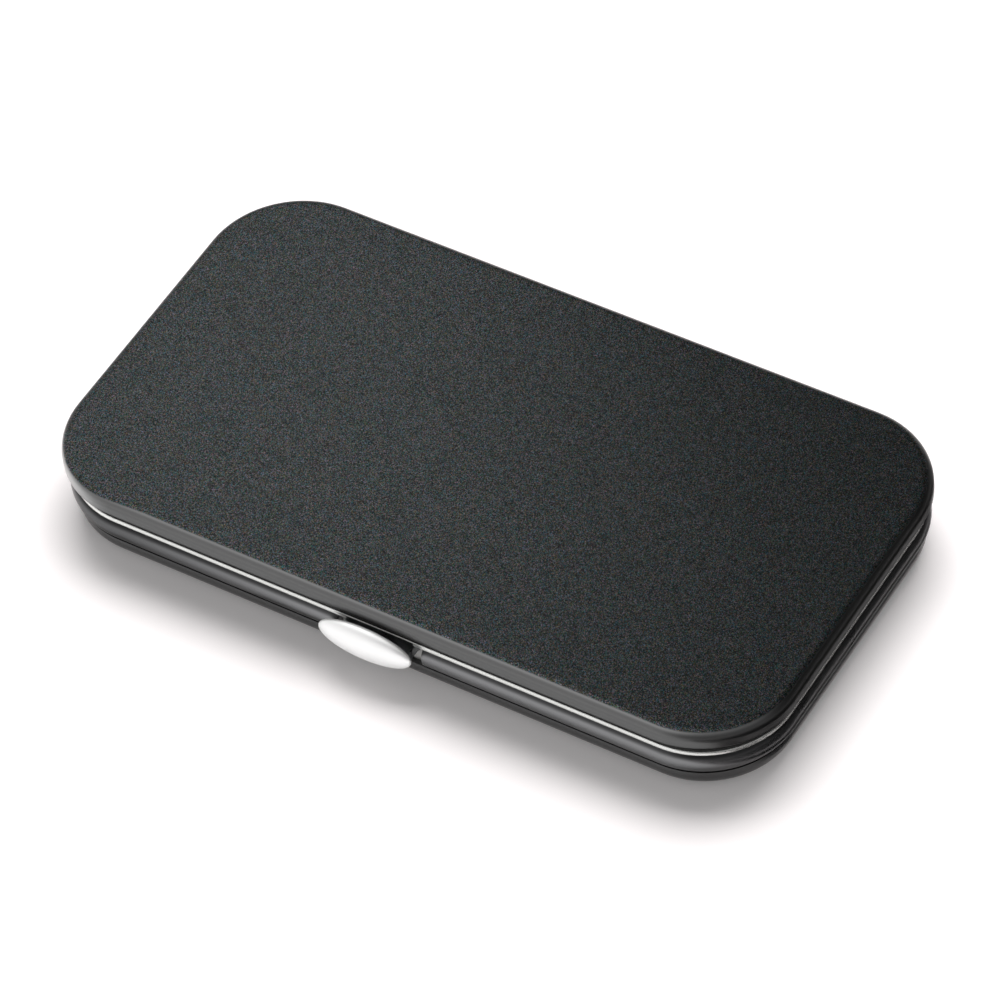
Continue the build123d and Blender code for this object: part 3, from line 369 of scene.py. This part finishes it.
def anodised_band():
    """Black anodised aluminium strip, rolled and lightly polished: a soft satin shine along it,
    with painted highlight and shade in its colour.
    """
    case = look("case_look")
    material, tree, shader = new_material("black_anodised_aluminium_band", metallic=1.0)
    position = object_position(tree)
    clouds = speckle(tree, position, 6 * MM).outputs["Fac"]
    shade = blend_colours(tree, clouds, shade_of(case.band, 0.9), shade_of(case.band, 1.1))
    # painted light and shade over the band's colour
    level = painted_band_light_and_shade(tree, coordinates(tree, position))
    colour_surface(tree, shader, scale_colour(tree, shade, level))
    roughen(tree, shader, clouds, 0.26, 0.34)
    return material


def black_lacquer():
    """Stoved black lacquer on the lid's steel frame: nearly black, with a dull shine."""
    case = look("case_look")
    material, tree, shader = new_material("stoved_black_lacquer", ior=1.5)
    clouds = speckle(tree, object_position(tree), 4 * MM).outputs["Fac"]
    colour_surface(
        tree, shader, blend_colours(tree, clouds, shade_of(case.frame_black), paint("151516"))
    )
    roughen(tree, shader, clouds, 0.35, 0.5)
    return material


def nickel_plate():
    """Nickel plate on the rolled steel frame: pale, slightly blurred reflections. It is matt in the
    latch's cut-out, and its colour is darkened on the rim right above the button as painted shade."""
    case = look("case_look")
    material, tree, shader = new_material("bright_nickel_plate")
    position = object_position(tree)
    place = coordinates(tree, position)
    ripple = speckle(tree, position, 2.5 * MM).outputs["Fac"]
    aside = calculate(tree, "ABSOLUTE", place["X"])
    at_front = remap(tree, place["Y"], -CASE_HALF.y + 1 * MM, -CASE_HALF.y + 4 * MM, 1.0, 0.0)
    # painted shade: the frame's colour darkens at the front right above the button
    painted_shade_over_button = remap(tree, aside, 6.2 * MM, 7.0 * MM, 1.0, 0.0, "SMOOTHSTEP")
    dull = calculate(tree, "MULTIPLY", painted_shade_over_button, at_front)
    shade = blend_colours(tree, ripple, shade_of(case.nickel), paint("d9d9d6"))
    colour_surface(
        tree, shader, scale_colour(tree, shade, remap(tree, dull, 0.0, 1.0, 1.0, 0.55))
    )
    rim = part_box("lower_frame")[1].z
    in_cut_out = remap(tree, aside, 8.2 * MM, 9.6 * MM, 1.0, 0.0, "SMOOTHSTEP")
    wall = remap(tree, place["Z"], rim - 0.9 * MM, rim - 0.5 * MM, at_front, 0.0)
    matt = calculate(tree, "MULTIPLY", in_cut_out, wall)
    smooth = remap(tree, ripple, NOISE_LOW, NOISE_HIGH, 0.22, 0.26)
    roughen(tree, shader, calculate(tree, "MAXIMUM", smooth, matt), 0.0, 0.9, low=0.0, high=1.0)
    tree.links.new(remap(tree, matt, 0.0, 1.0, 0.85, 0.3), shader.inputs["Metallic"])
    return material


def satin_button():
    """Tumbled zinc with pearl chrome plating under a thin frosted lacquer: white and satin."""
    case = look("case_look")
    material, tree, shader = new_material("satin_chrome_on_zinc", metallic=0.6)
    clouds = speckle(tree, object_position(tree), 3 * MM).outputs["Fac"]
    colour_surface(
        tree, shader, blend_colours(tree, clouds, shade_of(case.button), paint("f8f8f7"))
    )
    roughen(tree, shader, clouds, 0.42, 0.46)
    return material


# ------------------------------------------------------------------ mechanism and tools
def brushed(name, colour, along, across, smooth, rough):
    """Brushed metal: hair lines run along X, drawn wide enough to show."""
    material, tree, shader = new_material(name, metallic=0.75)
    position = object_position(tree)
    squeezed = add_node(
        tree, "Mapping", {"Vector": position, "Scale": (across / along, 1.0, 1.0)}
    ).outputs["Vector"]
    lines = speckle(tree, squeezed, across, Detail=3.0).outputs["Fac"]
    contrast = remap(tree, lines, NOISE_LOW, NOISE_HIGH, 0.0, 1.0)
    colour_surface(
        tree, shader, blend_colours(tree, contrast, shade_of(colour, 0.86), shade_of(colour))
    )
    roughen(tree, shader, lines, smooth, rough)
    raise_surface(tree, shader, lines, 0.004 * MM)
    return material


def zinc_plate():
    """Bright zinc plate on pressed steel: cool grey, cloudy, softly shining."""
    inside = look("inside_look")
    material, tree, shader = new_material("bright_zinc_plate", metallic=1.0)
    clouds = speckle(tree, object_position(tree), 1.8 * MM, Detail=4.0).outputs["Fac"]
    shade = blend_colours(tree, clouds, shade_of(inside.zinc, 0.8), shade_of(inside.zinc))
    colour_surface(tree, shader, shade)
    roughen(tree, shader, clouds, 0.24, 0.4)
    return material


def blued_spring():
    """Tempered spring steel strip: dark straw-blue oxide."""
    return brushed("tempered_spring_steel", linear("6b6f7c"), 3 * MM, 0.12 * MM, 0.25, 0.4)


def steel():
    """Brushed and polished stainless steel of the tools."""
    return brushed(
        "brushed_stainless_steel", look("inside_look").steel, 4 * MM, 0.12 * MM, 0.28, 0.4
    )


def cut_file_steel():
    """Stainless file blade, cross-cut: two sets of slanting teeth, drawn 0.55 mm apart."""
    inside = look("inside_look")
    material, tree, shader = new_material("cross_cut_file_steel", metallic=1.0)
    position = object_position(tree)
    tooth = 0.55 * MM
    heights = []
    for turn in (50, -50):
        turned = add_node(
            tree, "Mapping", {"Vector": position, "Rotation": (0, 0, math.radians(turn))}
        ).outputs["Vector"]
        wave = add_node(
            tree, "TexWave", {"Vector": turned, "Scale": wave_scale(tooth)},
            wave_profile="SAW", bands_direction="X",
        )
        heights.append(wave.outputs["Fac"])
    teeth = calculate(tree, "MULTIPLY", *heights)
    shade = blend_colours(tree, teeth, shade_of(inside.steel, 0.55), shade_of(inside.steel))
    colour_surface(tree, shader, shade)
    roughen(tree, shader, teeth, 0.5, 0.3, low=0.0, high=1.0)
    raise_surface(tree, shader, teeth, 0.08 * MM)
    return material


def moulded_handle():
    """Moulded ABS with an eroded mould finish: fine even matt texture."""
    inside = look("inside_look")
    material, tree, shader = new_material("moulded_abs", ior=1.53)
    erosion = speckle(tree, object_position(tree), 0.15 * MM).outputs["Fac"]
    colour_surface(
        tree, shader, blend_colours(tree, erosion, shade_of(inside.handle), paint("262628"))
    )
    roughen(tree, shader, erosion, 0.45, 0.6)
    raise_surface(tree, shader, erosion, 0.02 * MM)
    return material


# ------------------------------------------------------------------ soft finishes
def nylon_flock():
    """Short nylon flock on foam: deep matt pile in soft clumps, pale only at grazing angles."""
    inside = look("inside_look")
    material, tree, shader = new_material(
        "nylon_flock", sheen_weight=0.45, sheen_roughness=0.45, roughness=0.95
    )
    position = object_position(tree)
    clumps = speckle(tree, position, inside.pile_size, Detail=3.0).outputs["Fac"]
    patches = speckle(tree, position, 9 * MM).outputs["Fac"]
    brushed_pile = calculate(tree, "ADD", clumps, patches)
    shade = blend_colours(
        tree, remap(tree, brushed_pile, 0.7, 1.3, 0.0, 1.0), shade_of(inside.flock, 0.6),
        shade_of(inside.flock, 1.3),
    )
    colour_surface(tree, shader, shade)
    raise_surface(tree, shader, clumps, 0.12 * MM)
    return material


def satin_lining():
    """Woven polyester satin: fine threads both ways, with a faint sheen."""
    inside = look("inside_look")
    material, tree, shader = new_material(
        "woven_satin", sheen_weight=0.3, sheen_roughness=0.35
    )
    position = object_position(tree)
    threads = []
    for direction in ("X", "Y"):
        wave = add_node(
            tree, "TexWave", {"Vector": position, "Scale": wave_scale(inside.thread)},
            bands_direction=direction,
        )
        threads.append(wave.outputs["Fac"])
    weave = calculate(tree, "MAXIMUM", *threads)
    shade = blend_colours(
        tree, weave, shade_of(inside.lining, 0.55), shade_of(inside.lining, 1.25)
    )
    colour_surface(tree, shader, shade)
    roughen(tree, shader, weave, 0.65, 0.42, low=0.0, high=1.0)
    raise_surface(tree, shader, weave, 0.05 * MM)
    return material


# ------------------------------------------------------------------ mesh helpers
def give(material, *names):
    """Puts the material in the slots of these CAD nodes."""
    for name in names:
        for slot in frame["nodes"][name].material_slots:
            slot.material = material


def only(thing):
    """Selects one object alone and makes it active."""
    bpy.ops.object.select_all(action="DESELECT")
    thing.select_set(True)
    bpy.context.view_layer.objects.active = thing


def merged_copy(node_name, piece_name):
    """A new piece that starts as a CAD node's own form, its loose triangles merged to faces."""
    only(frame["nodes"][node_name])
    bpy.ops.object.duplicate()
    piece = bpy.context.active_object
    piece.name = piece_name
    piece.data.name = piece_name
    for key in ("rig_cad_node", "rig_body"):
        if key in piece:
            del piece[key]
    piece.parent = None
    bpy.ops.object.mode_set(mode="EDIT")
    bpy.ops.mesh.select_all(action="SELECT")
    bpy.ops.mesh.customdata_custom_splitnormals_clear()
    bpy.ops.mesh.remove_doubles(threshold=0.002 * MM)
    bpy.ops.mesh.dissolve_limited(angle_limit=math.radians(1))
    bpy.ops.mesh.select_all(action="DESELECT")
    bpy.ops.object.mode_set(mode="OBJECT")
    return piece


def select_parts(piece, kind, wanted):
    """Goes into edit mode with only the edges or polygons selected that pass the test."""
    only(piece)
    bpy.ops.object.mode_set(mode="EDIT")
    bpy.ops.mesh.select_mode(type={"edges": "EDGE", "polygons": "FACE"}[kind])
    bpy.ops.mesh.select_all(action="DESELECT")
    bpy.ops.object.mode_set(mode="OBJECT")
    for part in getattr(piece.data, kind):
        part.select = wanted(part)
    bpy.ops.object.mode_set(mode="EDIT")


def finish_soft(piece, material, body, node_name):
    """Shades a soft piece, gives it its material and lets it stand for its CAD node."""
    only(piece)
    bpy.ops.object.shade_smooth_by_angle(angle=math.radians(50))
    piece.data.materials.clear()
    piece.data.materials.append(material)
    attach(piece, body)
    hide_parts(node_name)


# ------------------------------------------------------------------ operators
class CASE_OT_metal(bpy.types.Operator):
    """Finishes the covers, frames and side bands"""

    bl_idname = "case.metal"
    bl_label = "Covers, frames and bands"

    def execute(self, context):
        case = look("case_look")
        # painted light and shade on the bare edges: the lid's edge lighter at its left end, darker
        # lower down and with a painted shadow line at its hem; the underside's edge darker all
        # along and darker still at its left end
        upper = sparkle_lacquer(
            "sparkle_lacquer_on_aluminium", case.grain_start, case.grain_full,
            painted_left_end_level=2.6, painted_low_level=0.5, painted_hem_level=0.05,
        )
        under = sparkle_lacquer(
            "sparkle_lacquer_underside", 3.2 * MM, 3.9 * MM,
            painted_left_end_level=0.3, painted_low_level=0.65, painted_hem_level=1.0,
        )
        give(upper, "top_cover")
        give(under, "bottom_cover")
        give(anodised_band(), "side_band_left", "side_band_right")
        give(nickel_plate(), "lower_frame")
        give(black_lacquer(), "upper_frame")
        return {"FINISHED"}


class CASE_OT_latch(bpy.types.Operator):
    """Finishes the push button and the latch behind it"""

    bl_idname = "case.latch"
    bl_label = "Button and latch"

    def execute(self, context):
        give(satin_button(), "button_cap")
        give(
            zinc_plate(), "button_slider", "latch_guide", "latch_guide_rivets", "latch_striker",
            "striker_rivets",
        )
        give(blued_spring(), "latch_spring")
        return {"FINISHED"}


class CASE_OT_hinge(bpy.types.Operator):
    """Finishes the hinge"""

    bl_idname = "case.hinge"
    bl_label = "Hinge"

    def execute(self, context):
        give(
            zinc_plate(), "base_hinge_leaf", "base_hinge_rivets", "lid_hinge_leaf",
            "lid_hinge_rivets", "hinge_pin",
        )
        return {"FINISHED"}


class CASE_OT_tools(bpy.types.Operator):
    """Finishes the five tools"""

    bl_idname = "case.tools"
    bl_label = "Manicure tools"

    def execute(self, context):
        give(
            steel(), "scissor_half_lower", "scissor_half_upper", "scissor_screw",
            "tweezer_arm_lower", "tweezer_arm_upper", "cuticle_pusher", "clipper_jaw_lower",
            "clipper_jaw_upper", "clipper_lever", "clipper_post", "clipper_rivet",
        )
        give(cut_file_steel(), "nail_file_blade")
        give(moulded_handle(), "nail_file_handle")
        return {"FINISHED"}


class CASE_OT_tray(bpy.types.Operator):
    """Makes the flocked foam tray, with its pocket edges rounded"""

    bl_idname = "case.tray"
    bl_label = "Flocked tray"

    def execute(self, context):
        inside = look("inside_look")
        tray = merged_copy("foam_tray", "flocked_tray")
        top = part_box("foam_tray")[1].z
        vertices = tray.data.vertices
        select_parts(
            tray, "edges",
            lambda edge: all(abs(vertices[i].co.z - top) < 0.01 * MM for i in edge.vertices),
        )
        bpy.ops.mesh.bevel(
            offset=inside.edge_round, segments=3, affect="EDGES", clamp_overlap=True
        )
        bpy.ops.object.mode_set(mode="OBJECT")
        finish_soft(tray, nylon_flock(), "base", "foam_tray")
        return {"FINISHED"}


class CASE_OT_lining(bpy.types.Operator):
    """Makes the padded satin lining glued inside the lid, rolled over at its edges"""

    bl_idname = "case.lining"
    bl_label = "Lid lining"

    def execute(self, context):
        inside = look("inside_look")
        lining = merged_copy("lid_lining", "satin_lining")
        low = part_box("lid_lining")[0].z
        select_parts(
            lining, "polygons",
            lambda face: face.normal.z < -0.9 and face.center.z < low + 0.1 * MM,
        )
        # each step's width in mm, and its share of the crown
        for width, share in ((0.15, 0.22), (0.35, 0.26), (0.9, 0.24), (2.5, 0.18), (6.0, 0.1)):
            bpy.ops.mesh.inset(thickness=width * MM, depth=share * inside.lining_crown)
        bpy.ops.object.mode_set(mode="OBJECT")
        finish_soft(lining, satin_lining(), "lid", "lid_lining")
        return {"FINISHED"}


class CASE_OT_stage(bpy.types.Operator):
    """Sets the pale floor, the soft lights and the camera"""

    bl_idname = "case.stage"
    bl_label = "Floor, lights and camera"

    def execute(self, context):
        studio = look("studio_look")
        lay_floor()
        light_room(studio)
        middle = Vector((0, 0, CASE_TOP / 2))
        hang_softbox(
            "key_softbox", Vector((-0.13, 0.38, 0.87)), middle, (0.8, 0.55), studio.key_power,
            mirrored=False,
        )
        # cards on the table, seen only in the case's shiny edges: dark right of it, white in front
        right, front = CASE_HALF.x, -CASE_HALF.y
        lay_card("near_flag", (right, -0.15), (right + 0.0045, 0.15), "1a1a1a", 0.0)
        lay_card("far_flag", (right + 0.0065, -0.15), (right + 0.3, 0.15), "2c2c2c", 0.0)
        lay_card("white_card", (-0.2, front - 0.15), (0.056, front - 0.001), "ffffff", 0.3)
        hang_softbox(
            "sheen_card", Vector((-0.115, 0.082, 0.15)), middle, (0.135, 0.135), studio.sheen_power,
            shines=False,
        )
        place_camera(studio)
        return {"FINISHED"}


def lay_floor():
    """White paper floor. To the camera and in shiny surfaces it also glows faintly, so that it
    stays white away from the case's shadow."""
    bpy.ops.object.select_all(action="DESELECT")
    bpy.ops.mesh.primitive_plane_add(size=6.0)
    floor = bpy.context.active_object
    floor.name = "floor"
    material, tree, shader = new_material(
        "white_paper", roughness=1.0, base_color=paint("f6f1f1"), specular_ior_level=0.0
    )
    rays = add_node(tree, "LightPath").outputs
    seen = calculate(tree, "MAXIMUM", rays["Is Camera Ray"], rays["Is Glossy Ray"])
    glow = add_node(tree, "Emission", {"Color": paint("ffffff"), "Strength": 0.12})
    both = add_node(tree, "AddShader", {0: shader.outputs[0], 1: glow.outputs[0]})
    mixed = add_node(tree, "MixShader", {0: seen, 1: shader.outputs[0], 2: both.outputs[0]})
    tree.links.new(mixed.outputs[0], tree.nodes["Material Output"].inputs["Surface"])
    floor.data.materials.append(material)


def lay_card(name, low, high, code, glow):
    """A card on the table between two corners, seen only as a reflection. It may glow."""
    bpy.ops.object.select_all(action="DESELECT")
    bpy.ops.mesh.primitive_plane_add(size=1.0)
    card = bpy.context.active_object
    card.name = name
    bpy.ops.object.mode_set(mode="EDIT")
    bpy.ops.mesh.select_all(action="SELECT")
    bpy.ops.transform.resize(value=(high[0] - low[0], high[1] - low[1], 1.0))
    bpy.ops.transform.translate(
        value=((low[0] + high[0]) / 2, (low[1] + high[1]) / 2, 0.2 * MM)
    )
    bpy.ops.object.mode_set(mode="OBJECT")
    material = new_material(
        name, roughness=1.0, base_color=paint(code), emission_color=paint(code),
        emission_strength=glow,
    )[0]
    card.data.materials.append(material)
    card.visible_camera = False
    card.visible_diffuse = False
    card.visible_shadow = False
    card.visible_transmission = False


def mirrored_room(tree):
    """What shiny pieces see of the room: a white wall in front that reaches overhead, brightest
    there and at its foot, and dims towards the right; darkness behind; and a faint horizon, weaker
    at the sides."""
    direction = add_node(tree, "TexCoord").outputs["Generated"]
    towards_wall = Vector((-0.15, -0.99, 0.0)).normalized()
    facing = add_node(
        tree, "VectorMath", {0: direction, 1: towards_wall}, operation="DOT_PRODUCT"
    ).outputs["Value"]
    along = coordinates(tree, direction)
    overhead = remap(tree, along["Z"], 0.5, 0.95, 0.75, 1.7, "SMOOTHSTEP")
    at_foot = remap(tree, along["Z"], 0.0, 0.3, 1.2, 0.75, "SMOOTHSTEP")
    rightwards = remap(tree, along["X"], -0.25, 0.15, 1.0, 0.3, "SMOOTHSTEP")
    brightness = calculate(
        tree, "MULTIPLY", calculate(tree, "MAXIMUM", overhead, at_foot), rightwards
    )
    wall = remap(tree, facing, -0.32, -0.12, 0.02, brightness, "SMOOTHSTEP")
    right_side = remap(tree, along["X"], 0.2, 0.7, 0.35, 0.08)
    all_round = remap(tree, along["X"], -0.7, -0.4, 0.05, right_side)
    horizon = remap(tree, along["Z"], 0.1, 0.6, all_round, 0.0, "SMOOTHSTEP")
    return calculate(tree, "MAXIMUM", wall, horizon)


def light_room(studio):
    """Room light: even on dull pieces, uneven in shiny ones, and plain white as a backdrop."""
    world = bpy.data.worlds.new("studio")
    bpy.context.scene.world = world
    world.use_nodes = True
    tree = world.node_tree
    rays = add_node(tree, "LightPath").outputs
    level = add_node(
        tree, "Mix", {0: rays["Is Glossy Ray"], 2: studio.room, 3: mirrored_room(tree)}
    ).outputs[0]
    backdrop = calculate(tree, "MAXIMUM", rays["Is Camera Ray"], rays["Is Transmission Ray"])
    total = add_node(tree, "Mix", {0: backdrop, 2: level, 3: 1.0}).outputs[0]
    background = tree.nodes["Background"]
    tree.links.new(total, background.inputs["Strength"])
    background.inputs["Color"].default_value = paint("ffffff")


def hang_softbox(name, place, target, size, power, shines=True, mirrored=True):
    """A softbox facing the target. It lights dull surfaces where it shines, and is seen in shiny
    ones where it is mirrored."""
    lamp = bpy.data.lights.new(name, "AREA")
    lamp.shape = "RECTANGLE"
    lamp.size, lamp.size_y = size
    lamp.energy = power
    box = bpy.data.objects.new(name, lamp)
    bpy.context.scene.collection.objects.link(box)
    turn = (place - target).to_track_quat("Z", "Y").to_matrix().to_4x4()
    box.matrix_world = Matrix.Translation(place) @ turn
    box.visible_camera = False
    box.visible_diffuse = shines
    box.visible_glossy = mirrored


def place_camera(studio):
    """Camera above the case's front right corner, leaning a little."""
    level = math.cos(studio.elevation)
    back = Vector((
        math.sin(studio.azimuth) * level, -math.cos(studio.azimuth) * level,
        math.sin(studio.elevation),
    ))
    right = (-back).cross(Vector((0, 0, 1))).normalized()
    up = right.cross(-back)
    aim = Vector((0, 0, CASE_TOP - 0.5 * MM)) + right * studio.aim_across - up * studio.aim_down
    across = right * math.cos(studio.roll) + up * math.sin(studio.roll)
    upright = up * math.cos(studio.roll) - right * math.sin(studio.roll)
    lens = bpy.data.cameras.new("camera")
    lens.sensor_width = 36.0
    lens.lens = studio.lens
    lens.clip_start = 0.01
    camera = bpy.data.objects.new("camera", lens)
    bpy.context.scene.collection.objects.link(camera)
    turn = Matrix((across, upright, back)).transposed().to_4x4()
    camera.matrix_world = Matrix.Translation(aim + back * studio.distance) @ turn
    bpy.context.scene.camera = camera


# ------------------------------------------------------------------ panel and registration
class CASE_PT_panel(bpy.types.Panel):
    """Lists the case's pieces in the sidebar"""

    bl_idname = "CASE_PT_panel"
    bl_label = "Manicure Case"
    bl_space_type = "VIEW_3D"
    bl_region_type = "UI"
    bl_category = "Manicure Case"

    def draw(self, context):
        for operator in OPERATORS:
            self.layout.operator(operator.bl_idname)
        for group, settings in SETTINGS.items():
            box = self.layout.box()
            for name in settings.__annotations__:
                box.prop(getattr(context.scene, group), name)


OPERATORS = (
    CASE_OT_metal,
    CASE_OT_latch,
    CASE_OT_hinge,
    CASE_OT_tools,
    CASE_OT_tray,
    CASE_OT_lining,
    CASE_OT_stage,
)
SETTINGS = {"case_look": CaseLook, "inside_look": InsideLook, "studio_look": StudioLook}
CLASSES = (*SETTINGS.values(), *OPERATORS, CASE_PT_panel)


def register():
    for each in CLASSES:
        bpy.utils.register_class(each)
    for name, settings in SETTINGS.items():
        setattr(bpy.types.Scene, name, PointerProperty(type=settings))


def unregister():
    for name in SETTINGS:
        delattr(bpy.types.Scene, name)
    for each in reversed(CLASSES):
        bpy.utils.unregister_class(each)


def main():
    """Registers the add-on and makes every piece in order."""
    register()
    bpy.context.scene.view_settings.view_transform = "Standard"
    bpy.ops.case.metal()
    bpy.ops.case.latch()
    bpy.ops.case.hinge()
    bpy.ops.case.tools()
    bpy.ops.case.tray()
    bpy.ops.case.lining()
    bpy.ops.case.stage()


if __name__ == "__main__":
    main()
